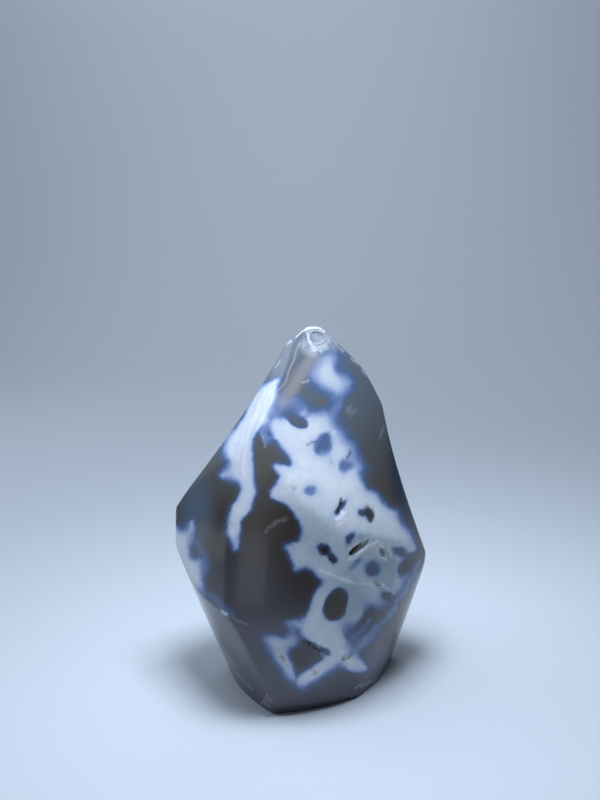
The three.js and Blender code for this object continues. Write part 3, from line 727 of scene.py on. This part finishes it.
def seen_from_camera(points):
    """1 on the front that the picture shows, 0 on the rest, with a soft change near the outline."""
    normals = skin(points)[1]
    to_camera = CAMERA_AT - points
    lengths = np.linalg.norm(normals, axis=1), np.linalg.norm(to_camera, axis=1)
    facing = (normals * to_camera).sum(1) / lengths[0] / lengths[1]
    return ease(TURNED_AWAY, IN_VIEW, facing)


def milk(points, seen):
    """Distance in mm into the white: the front as it is seen, and the rest as guessed."""
    distance = seen * read_map(milk_map, points)
    behind = seen < 1
    distance[behind] += (1 - seen[behind]) * milk_behind(points[behind])
    return distance


def mark(kind, points, seen):
    return seen * read_map(mark_maps[kind], points)


print(f"{seen_from_camera(points).mean():.0%} of the points of the rings are seen")

# %% [markdown]
# Small damage and hollows. Where the polish met an open pocket of the rough, a vug is left: a ragged hole
# lined with tiny quartz crystals. There are also two pits in the ledge, a slot, a crack and a bruise on the
# tip. Each is a place on the skin, an outline with a ragged edge, and a depth that pushes the skin in.

# %% Pits: place, half length, half width and depth in mm, turn in degrees, raggedness, crystals
PITS = {
    "vug": ([13.5, -16.2, 38.5], 3.4, 1.0, 1.3, 17, 0.25, 1.0),
    "small_vug": ([19.5, -11.7, 35.5], 1.9, 0.9, 0.8, -55, 0.25, 1.0),
    "slot": ([10, -14.2, 48.5], 1.9, 0.6, 1.0, 70, 0.15, 0.4),
    "upper_ledge_pit": ([18, -13.7, 28.5], 1.8, 0.8, 0.6, -40, 0.3, 0.4),
    "lower_ledge_pit": ([21, -10.7, 25], 1.4, 0.8, 0.5, -40, 0.3, 0.4),
    "crack": ([2, -22.7, 17.5], 3.2, 0.4, 0.4, -43, 0.1, 0.0),
    "pitted_patch": ([9.5, -19.2, 13], 1.7, 1.2, 0.5, 20, 0.45, 0.3),
    "bruise": ([6.5, 0.8, 87], 1.8, 1.6, 0.35, 0, 0.1, 0.0),
}
PIT_SPAN = 2  # reach beyond which a pit, ragged edge and all, has ended
OTHER_SIDE = 3  # mm above or below a pit, where the skin belongs to another side of the stone


class Pit:
    """An oval hollow on the skin, with a length, a width and a depth in mm."""

    def __init__(self, near, half_length, half_width, depth, turn, ragged, crystals):
        self.middle = settle(np.array([near], float), np.array([False]))[0]
        self.normal = skin(self.middle[None])[1][0]
        self.normal /= np.linalg.norm(self.normal)
        right = np.cross([0, 0, 1], self.normal)
        right /= np.linalg.norm(right)
        up = np.cross(self.normal, right)
        angle = math.radians(turn)
        self.along = math.cos(angle) * right + math.sin(angle) * up
        self.across = -math.sin(angle) * right + math.cos(angle) * up
        self.sizes = half_length, half_width
        self.depth, self.ragged, self.crystals = depth, ragged, crystals

    def reach(self, points):
        """0 in the middle of the pit, 1 on its smooth outline; very large on other sides of the stone."""
        from_middle = points - self.middle
        x, y = from_middle @ self.along / self.sizes[0], from_middle @ self.across / self.sizes[1]
        elsewhere = np.abs(from_middle @ self.normal) > OTHER_SIDE
        return np.sqrt(x * x + y * y) + elsewhere * 100.0


pits = {name: Pit(*values) for name, values in PITS.items()}
print("pits:", ", ".join(pits))

# %% Finer triangles where there is more to show
# longest edge in mm in each kind of place
PLAIN_EDGE, RIDGE_EDGE, MARK_EDGE, PIT_EDGE = 1.4, 0.5, 0.3, 0.16
BORDER_EDGE, BORDER_EDGE_BEHIND = 0.6, 1.2
NEAR_RIDGE, NEAR_BORDER = 0.35, 0.7  # mm under the second face, and mm from the border of the white
FAINTEST = 0.02  # strength of a mark that still gets small triangles
PIT_MARGIN = 1.5  # reach round a pit that gets small triangles
HALVE_ROUNDS = 5


def wanted_length(points):
    """The longest edge in mm that is fine enough at each point."""
    wanted = np.where(ridge_gap(points) < NEAR_RIDGE, RIDGE_EDGE, PLAIN_EDGE)
    seen = seen_from_camera(points)
    border = np.abs(milk(points, seen)) < NEAR_BORDER
    wanted = np.where(border, np.minimum(wanted, np.where(seen > 0, BORDER_EDGE, BORDER_EDGE_BEHIND)), wanted)
    marked = np.max([mark(kind, points, seen) for kind in MARKS], 0)
    wanted = np.where(marked > FAINTEST, MARK_EDGE, wanted)
    for pit in pits.values():
        wanted = np.where(pit.reach(points) < PIT_MARGIN, PIT_EDGE, wanted)
    return wanted


for _ in range(HALVE_ROUNDS):
    before = len(triangles)
    points, triangles = halve(points, triangles, wanted_length)
    print(len(triangles), "triangles")
    if len(triangles) == before:
        break

# %% Pits pressed into the skin
CHIPS_PER_MM, SMALL_CHIPS_PER_MM = 1.6, 4  # of the ragged edges
CRYSTALS_PER_MM = 5  # on the bottoms
ROUGH_OUT_TO = 1.15  # reach of the dull rim round a pit


def bumps(points, per_mm):
    return np.array([noise.noise(Vector(point) * per_mm) for point in points])


slopes = skin(points)[1]
normals = slopes / np.linalg.norm(slopes, axis=1)[:, None]
sunk = np.zeros(len(points))
in_pit = np.zeros(len(points), bool)
for pit in pits.values():
    reach = pit.reach(points)
    near = reach < PIT_SPAN
    chips = bumps(points[near], CHIPS_PER_MM) + bumps(points[near], SMALL_CHIPS_PER_MM) / 2
    edge = reach[near] + pit.ragged * chips
    hollow = np.sqrt(np.clip(1 - edge * edge, 0, 1))
    bottom = 1 + 0.5 * pit.crystals * bumps(points[near], CRYSTALS_PER_MM)
    sunk[near] = np.maximum(sunk[near], pit.depth * hollow * bottom)
    in_pit[near] |= edge < ROUGH_OUT_TO
unpressed = points
points = points - sunk[:, None] * normals
print(f"deepest pit: {sunk.max():.1f} mm")

# %% [markdown]
# The foot is the one saw cut, left flat so that the stone stands. A point in its middle closes the skin.

# %% Mesh of the stone
edges = np.stack([triangles, np.roll(triangles, -1, 1)], 2).reshape(-1, 2)
_, which, count = np.unique(np.sort(edges, 1), axis=0, return_inverse=True, return_counts=True)
foot_rim = edges[count[which] == 1]
foot = np.column_stack([foot_rim[:, 1], foot_rim[:, 0], np.full(len(foot_rim), len(points))])
faces = np.vstack([triangles, foot])
points = np.vstack([points, FOOT_MIDDLE])
placed = np.clip(points * MM, np.array(solid_low), np.array(solid_high))

mesh = bpy.data.meshes.new("agate_stone")
mesh.from_pydata(placed.tolist(), [], faces.tolist())
mesh.shade_smooth()
print(len(mesh.polygons), "triangles in the stone")

# %% [markdown]
# The mesh's own normals would show its triangles in the polish. The slope of the skin is exact, so it is
# used everywhere but in the pits, and the foot is plain flat.

# %% Normals
point_normals = np.zeros((len(mesh.vertices), 3))
mesh.vertices.foreach_get("normal", point_normals.ravel())
smooth = ~in_pit
point_normals[: len(smooth)][smooth] = normals[smooth]
corner_normals = point_normals[faces.ravel()]
corner_normals[len(triangles) * 3 :] = (0, 0, -1)
mesh.normals_split_custom_set(corner_normals.tolist())
print(f"{smooth.mean():.0%} of the points are smooth skin")

# %% [markdown]
# The pattern and the marks are kept on the points of the mesh as named layers, which the material reads.

# %% Layers on the mesh
seen = seen_from_camera(unpressed)
layers = {"milk": milk(unpressed, seen), "pit": in_pit * 1.0}
layers.update({kind: mark(kind, unpressed, seen) for kind in mark_maps})
for name, values in layers.items():
    layer = mesh.attributes.new(name, "FLOAT", "POINT")
    layer.data.foreach_set("value", np.append(values, 0.0).astype(np.float32))
stone = bpy.data.objects.new("agate_stone", mesh)
bpy.context.scene.collection.objects.link(stone)
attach(stone, "root")
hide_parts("stone")
print("layers:", ", ".join(layers))

# %% [markdown]
# The finish. Polished agate is a plain dense mineral with a clear, narrow gloss, so one shader makes it, with
# the pattern in its base colour. Colours are written as they look on a screen and turned into the linear
# values that light works with. Sizes of noise are written in mm, as the width of one bump.

# %% Helpers for materials
def linear(hex_colour, alpha=1.0):
    """A colour as written for a screen, in linear light."""
    values = [int(hex_colour[i : i + 2], 16) / 255 for i in (0, 2, 4)]
    values = [v / 12.92 if v < 0.04045 else ((v + 0.055) / 1.055) ** 2.4 for v in values]
    return (*values, alpha)


def per_metre(size_in_mm):
    """The scale of a noise with bumps of a size."""
    return 1 / (size_in_mm * MM)


class Finish:
    """A material of nodes, and one short way to add a node with its settings and links."""

    def __init__(self, name):
        self.material = bpy.data.materials.new(name)
        self.material.use_nodes = True
        self.tree = self.material.node_tree
        self.shader = self.tree.nodes["Principled BSDF"]

    def add(self, kind, settings=None, stops=(), **inputs):
        """Adds a node. An input is named, or given as _ and its number. Stops are for a ramp."""
        node = self.tree.nodes.new("ShaderNode" + kind)
        for key, value in (settings or {}).items():
            setattr(node, key, value)
        for key, value in inputs.items():
            self.put(node, int(key[1:]) if key[1:].isdigit() else key, value)
        for number, (position, colour) in enumerate(stops):
            elements = node.color_ramp.elements
            element = elements[number] if number < len(elements) else elements.new(position)
            element.position, element.color = position, colour
        return next(output for output in node.outputs if output.enabled)

    def put(self, node, key, value):
        if isinstance(value, bpy.types.NodeSocket):
            self.tree.links.new(value, node.inputs[key])
        else:
            node.inputs[key].default_value = value

    def blend_of(self, terms):
        """A sum of (value, factor) pairs."""
        total = 0.0
        for value, factor in terms:
            total = self.add("Math", {"operation": "MULTIPLY_ADD"}, _0=value, _1=factor, _2=total)
        return total


agate = Finish("polished agate")
at = agate.add("TexCoord").node.outputs["Object"]
painted = {name: agate.add("Attribute", {"attribute_name": name}).node.outputs["Fac"] for name in layers}
print("the material reads", len(painted), "layers")


# %% Ovals in the stone, for changes of colour that have no edge
def inside(middle, radii, full=0.3, none=1.3):
    """1 in the middle of an oval, given in mm, and 0 outside it. It fades between two shares of its radii."""
    placed = agate.add(
        "Mapping", {"vector_type": "TEXTURE"}, Vector=at,
        Location=Vector(middle) * MM, Scale=Vector(radii) * MM)
    reach = agate.add("VectorMath", {"operation": "LENGTH"}, _0=placed).node.outputs["Value"]
    smooth_step = {"interpolation_type": "SMOOTHSTEP"}
    return agate.add("MapRange", smooth_step, Value=reach, _1=full, _2=none, _3=1.0, _4=0.0)


def inside_any(ovals):
    """The sum over ovals, each with its middle, radii and strength, and perhaps the shares where it fades."""
    terms = [(inside(middle, radii, *fade), strength) for middle, radii, strength, *fade in ovals]
    return agate.blend_of(terms)


# %% [markdown]
# The border between the two kinds. A steep border shows crisp and a shallow one soft, so the distance from
# the border is stretched where it is steep and shrunk where it is shallow. Noise makes the outline a little
# uneven, as agate grows in small round lobes.

# %% Depth into the white
LOBE, SMALL_LOBE, STEEPNESS_PATCH = 3.03, 0.769, 9.09  # mm
LEAST_STEEP, STEEPEST, SOFT = 1.05, 1.9, 0.42  # how much the distance is stretched
DEPTH_SHIFT = -0.42  # mm, takes the mean of the noise off again and widens the white a little

lobes = agate.add("TexNoise", Vector=at, Scale=per_metre(LOBE), Detail=2.0)
small_lobes = agate.add("TexNoise", Vector=at, Scale=per_metre(SMALL_LOBE), Detail=3.0)
patches = agate.add("TexNoise", Vector=at, Scale=per_metre(STEEPNESS_PATCH), Detail=1.0)
steepness = agate.add("MapRange", Value=patches, _1=0.35, _2=0.65, _3=LEAST_STEEP, _4=STEEPEST)
stretch = agate.add("MapRange", Value=painted["soft"], _1=0.0, _2=1.0, _3=steepness, _4=SOFT)
distance = agate.blend_of([(painted["milk"], 1.0), (lobes, 1.0), (small_lobes, 0.5), (1.0, DEPTH_SHIFT)])
depth = agate.add("Math", {"operation": "MULTIPLY"}, _0=distance, _1=stretch)
print("outlines are uneven by lobes of", LOBE, "and", SMALL_LOBE, "mm")

# %% [markdown]
# The clear kind is smoky, and how dark it looks depends on how thick it is. The thin tip lets light through
# and looks grey, and the thick middle looks almost black and a little brown. Some ovals are painted light:
# a blue reflection on the left corner and the right edge, an olive reflection beside the streaky ridge, a
# pale reflection of the paper at the lower right, and shade on the cheek, the upper right flank and the
# bevel.

# %% The clear kind
# share of the height of the tip, and colour
BODY_COLOURS = [(0.0, "58555f"), (0.3, "565357"), (0.55, "534e47"), (0.8, "5d5f62"), (1.0, "6f7883")]
TIP_HEIGHT, FOOT_PAINTED_SHADE_HEIGHT, FOOT_PAINTED_SHADE = 0.09, 0.006, 0.4  # m, m, and strength at the foot of a painted shade that darkens the skin towards the foot
# tints and painted light: colour, and ovals with middle and radii in mm and strength
BODY_TINTS_AND_PAINTED_LIGHT = [
    ("32251a", [  # thick front
        ((3, -20, 43), (12, 20, 24), 0.72), ((12, -18, 25), (10, 10, 10), 0.85),
        ((-2, -22, 16), (5, 6, 5), 0.5),
    ]),
    ("33363b", [((-19, -15, 42), (6, 9, 15), 0.55), ((27, -4, 23), (7, 10, 9), 0.9)]),  # painted shade: the cheek, with a painted blue reflection, and the upper right flank
    ("6b6450", [((-8, -13, 62), (5, 6, 9), 0.5)]),  # painted olive reflection beside the streaky ridge
    ("7d7b88", [((18, -11, 5), (8, 8, 9), 0.9)]),  # painted reflection of the paper, paler at the lower right
    ("5a7088", [((-28, -5, 47), (8, 12, 9), 0.65)]),  # painted blue reflection on the left corner
    ("0a3050", [((26, 5, 48), (5, 8, 15), 0.7)]),  # painted blue reflection on the right edge
    ("1b1a1f", [((-18, -13, 3.5), (8, 8, 4), 0.55)]),  # painted shade on the bevel at the left of the foot
]

height = agate.add("SeparateXYZ", Vector=at).node.outputs["Z"]
climb = agate.add("MapRange", {"interpolation_type": "SMOOTHERSTEP"}, Value=height, _1=0.0, _2=TIP_HEIGHT)
body_stops = [(share, linear(hex_colour)) for share, hex_colour in BODY_COLOURS]
body = agate.add("ValToRGB", stops=body_stops, Fac=climb)
for hex_colour, ovals in BODY_TINTS_AND_PAINTED_LIGHT:
    body = agate.add("Mix", {"data_type": "RGBA"}, _0=inside_any(ovals), _6=body, _7=linear(hex_colour))
# painted shade: darker towards the foot, where the lower faces look down at the paper in their shadow
painted_shade_near_foot = agate.add("MapRange", Value=height, _1=0.0, _2=FOOT_PAINTED_SHADE_HEIGHT, _3=FOOT_PAINTED_SHADE, _4=0.0)
body = agate.add("Mix", {"data_type": "RGBA"}, _0=painted_shade_near_foot, _6=body, _7=linear("2b2625"))
print(len(BODY_TINTS_AND_PAINTED_LIGHT), "tints in the clear kind")

# %% [markdown]
# The milky kind. Where it thins out over the dark, only the blue part of the light comes back, as in a clear
# sky, so its rim goes from dark through violet blue and pale blue to white. It is cloudy, and it is painted
# greyer in ovals on the front faces that get less light: painted shade.

# %% The milky kind and its blue rim
# depth into the white in mm, colour, and how much of the dark it covers
RIM = [
    (-1.8, "5a74a2", 0.0), (-0.8, "5a74a2", 0.17), (-0.4, "5a74a2", 0.42), (-0.1, "617ba9", 0.8),
    (0.15, "798fba", 1.0), (0.45, "9fb0d6", 1.0), (0.85, "c5d0e8", 1.0), (1.4, "dce3ef", 1.0),
    (4.0, "edf0f5", 1.0),
]
DARKEST_DEPTH, WHITEST_DEPTH = -3.0, 5.0  # mm, the span of the ramp
CLOUD = 2.381  # mm
PAINTED_SHADE_ON_WHITE = [  # ovals of painted shade on the white, with middle and radii in mm and strength
    ((14, -17, 31), (15, 15, 19), 0.6, 0.3, 1.4), ((1, -20, 45), (9, 10, 11), 0.5),
    ((21, -11, 30), (5, 5, 6), 0.4), ((-7, -23, 19), (6, 6, 6), 0.4), ((11, -19, 27), (5, 5, 6), 0.35),
]

span = WHITEST_DEPTH - DARKEST_DEPTH
rim_stops = [((at_depth - DARKEST_DEPTH) / span, linear(tone, cover)) for at_depth, tone, cover in RIM]
depth_share = agate.add("MapRange", Value=depth, _1=DARKEST_DEPTH, _2=WHITEST_DEPTH)
rim = agate.add("ValToRGB", stops=rim_stops, Fac=depth_share)
clouds = agate.add("TexNoise", Vector=at, Scale=per_metre(CLOUD), Detail=5.0, Roughness=0.6)
clouds = agate.add("MapRange", Value=clouds, _1=0.35, _2=0.7, _3=0.0, _4=0.35)
clouds_and_painted_shade = agate.blend_of([(clouds, 0.5), (inside_any(PAINTED_SHADE_ON_WHITE), 1.0)])
multiply = {"data_type": "RGBA", "blend_type": "MULTIPLY"}
# the white is greyed where it is cloudy and where shade is painted in the ovals
white = agate.add("Mix", multiply, _0=clouds_and_painted_shade, _6=rim, _7=linear("a8b9bf"))
colour = agate.add("Mix", {"data_type": "RGBA"}, _0=rim.node.outputs["Alpha"], _6=body, _7=white)
print("the rim has", len(RIM), "steps")

# %% [markdown]
# Marks lie over both kinds. A frosted spot is crushed agate: it looks white because it scatters all light,
# and dull because it isn't polished. Its grains are drawn coarser than real ones, which would not show. The
# same white layer also holds painted highlights along some edges, and the dark layer painted shade in the
# vug.
# The polish itself is matched to the soft edge of the bands of light in it. The IOR is that of chalcedony.

# %% Marks and gloss
MARK_COLOURS = {"vein": "bfb8b0", "rust": "9a6a3e", "frost_and_glint": "f2f5fa", "dirt_and_pit_shade": "1c1714"}
GRAIN = 0.3846  # mm
POLISH, FROST_AND_GLINT_DULLNESS, PIT_DULLNESS = 0.14, 0.4, 0.35  # roughness
CHALCEDONY_IOR = 1.54

grain = agate.add("TexNoise", Vector=at, Scale=per_metre(GRAIN), Detail=2.0)
grain = agate.add("MapRange", Value=grain, _1=0.42, _2=0.62, _3=0.55, _4=1.0)
frost_and_glint = agate.add("Math", {"operation": "MULTIPLY"}, _0=painted["frost_and_glint"], _1=grain)
for kind, hex_colour in MARK_COLOURS.items():
    strength = frost_and_glint if kind == "frost_and_glint" else painted[kind]
    colour = agate.add("Mix", {"data_type": "RGBA"}, _0=strength, _6=colour, _7=linear(hex_colour))
roughness = agate.blend_of([(frost_and_glint, FROST_AND_GLINT_DULLNESS), (painted["pit"], PIT_DULLNESS), (1.0, POLISH)])
agate.put(agate.shader, "Base Color", colour)
agate.put(agate.shader, "IOR", CHALCEDONY_IOR)
agate.put(agate.shader, "Roughness", roughness)
mesh.materials.append(agate.material)
print(len(agate.tree.nodes), "nodes in", agate.material.name)

# %% [markdown]
# The stone stands on a sheet of pale paper that is curved up far behind it, so no horizon crosses the
# picture. The paper is matt, so it throws back a soft light and mirrors nothing.

# %% Paper
SWEEP_AT, SWEEP_RADIUS, SWEEP_TOP = 0.55, 0.45, 2.2  # m behind the stone, m, m
SWEEP_STEPS = 24
PAPER_FRONT, PAPER_HALF_WIDTH = -2.0, 3  # m

profile = [(PAPER_FRONT, 0.0), (SWEEP_AT, 0.0)]
for step in range(1, SWEEP_STEPS + 1):
    angle = math.radians(90) * step / SWEEP_STEPS
    profile.append((SWEEP_AT + SWEEP_RADIUS * math.sin(angle), SWEEP_RADIUS * (1 - math.cos(angle))))
profile.append((SWEEP_AT + SWEEP_RADIUS, SWEEP_TOP))
sheet_sides = -PAPER_HALF_WIDTH, PAPER_HALF_WIDTH
sheet_points = [(side, y, z) for y, z in profile for side in sheet_sides]
sheet_faces = [(k, k + 1, k + 3, k + 2) for k in range(0, len(sheet_points) - 2, 2)]
paper_mesh = bpy.data.meshes.new("paper")
paper_mesh.from_pydata(sheet_points, [], sheet_faces)
paper_mesh.shade_smooth()
floor = bpy.data.objects.new("floor", paper_mesh)
bpy.context.scene.collection.objects.link(floor)
paper = Finish("pale paper")
paper.put(paper.shader, "Base Color", linear("dce1e6"))
paper.put(paper.shader, "Roughness", 0.7)
paper_mesh.materials.append(paper.material)
print(len(sheet_faces), "strips of paper")

# %% [markdown]
# A softbox hangs a hand above the stone, so the faces that look up are bright, the undercut ones get only
# what the paper throws back, and the shadow lies close round the foot. A wide second softbox on the left,
# high and a little behind, lights the cheek. Two dim cards show only as soft upright bands in the polish of
# the front. A lamp behind lights the curved paper alone. The room itself is dim and cool.


# %% Light
def softbox(name, at, size, watts, colour, aim=(0, 0, 0.045)):
    """A square light with a size in metres that faces a point of the stone."""
    light = bpy.data.lights.new(name, "AREA")
    light.size, light.energy, light.color = size, watts, linear(colour)[:3]
    lamp = bpy.data.objects.new(name, light)
    lamp.location = at
    lamp.rotation_euler = (Vector(aim) - Vector(at)).to_track_quat("-Z", "Y").to_euler()
    bpy.context.scene.collection.objects.link(lamp)


softbox("overhead", (0.008, -0.018, 0.2), 0.08, 0.375, "dfecff")
softbox("left", (-0.35, 0.12, 0.42), 0.4, 0.85, "dfecff")
softbox("front card", (-0.27, -0.51, 0.06), 0.22, 0.07, "f4f2f4")
softbox("side card", (-0.55, 0.16, 0.0), 0.1, 0.02, "f4f2f4")
softbox("paper", (0.0, 0.45, 0.9), 0.8, 4.0, "e6f1ff", aim=(0, 1.0, 0.5))

ROOM_COLOUR, ROOM_STRENGTH = "bdd2e8", 0.14
world = bpy.data.worlds.new("dim cool room")
bpy.context.scene.world = world
world.use_nodes = True
world.node_tree.nodes["Background"].inputs["Color"].default_value = linear(ROOM_COLOUR)
world.node_tree.nodes["Background"].inputs["Strength"].default_value = ROOM_STRENGTH
bpy.context.scene.view_settings.view_transform = "Standard"
